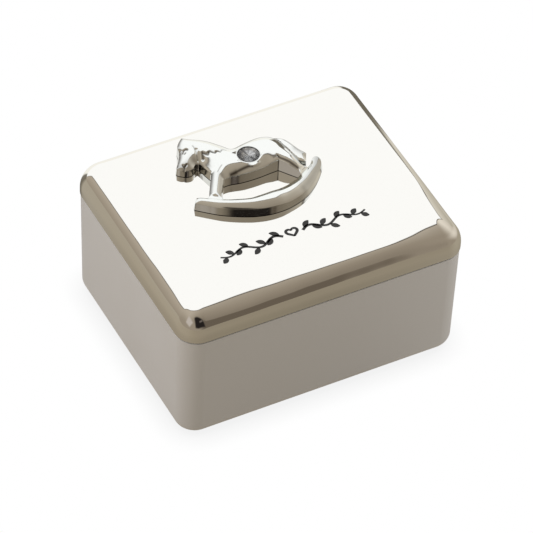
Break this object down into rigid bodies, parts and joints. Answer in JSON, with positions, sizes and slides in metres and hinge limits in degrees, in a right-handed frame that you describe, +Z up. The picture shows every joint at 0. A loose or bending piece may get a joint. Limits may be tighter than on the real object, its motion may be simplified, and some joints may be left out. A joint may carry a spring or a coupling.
{
  "type": "hinged keepsake box",
  "caption": "Small silver-plated keepsake box with a hinged lid, a rocking horse with a crystal saddle on top, and a velvet lining.",
  "frame": {"origin": "centre of the underside, on the face of the felt", "axes": "+X along the length of the box, -Y towards its front, where the decoration is, +Z up"},
  "size_m": [0.055, 0.045, 0.0337],
  "materials": {
    "satin_silver": "satin silver plate on a zinc casting",
    "polished_silver": "polished silver plate on a zinc casting",
    "plated_steel": "nickel-plated steel",
    "spring_steel": "blued spring steel",
    "cut_glass": "cut and polished, foiled behind",
    "velvet": "short pile",
    "card": "plain card",
    "felt": "pressed felt"
  },
  "bodies": {
    "base": {"base_shell": "satin_silver", "hinge_leaf_base": "plated_steel", "hinge_pin": "plated_steel", "hinge_screw_base_left": "plated_steel", "hinge_screw_base_right": "plated_steel", "lining_front": "velvet", "lining_back": "velvet", "lining_left": "velvet", "lining_right": "velvet", "lining_floor": "velvet", "underside_felt": "felt"},
    "lid": {"lid_shell": "polished_silver", "hinge_leaf_lid": "plated_steel", "hinge_screw_lid_left": "plated_steel", "hinge_screw_lid_right": "plated_steel", "rocking_horse": "polished_silver", "crystal": "cut_glass", "horse_nut_body": "spring_steel", "horse_nut_rocker": "spring_steel", "lid_lining_card": "card", "lid_lining_pad": "velvet"}
  },
  "joints": [
    {"name": "lid_hinge", "type": "hinge", "parent": "base", "child": "lid", "pos_m": [0, 0.02165, 0.02376], "axis": [-1, 0, 0], "range_deg": [0, 100]}
  ]
}
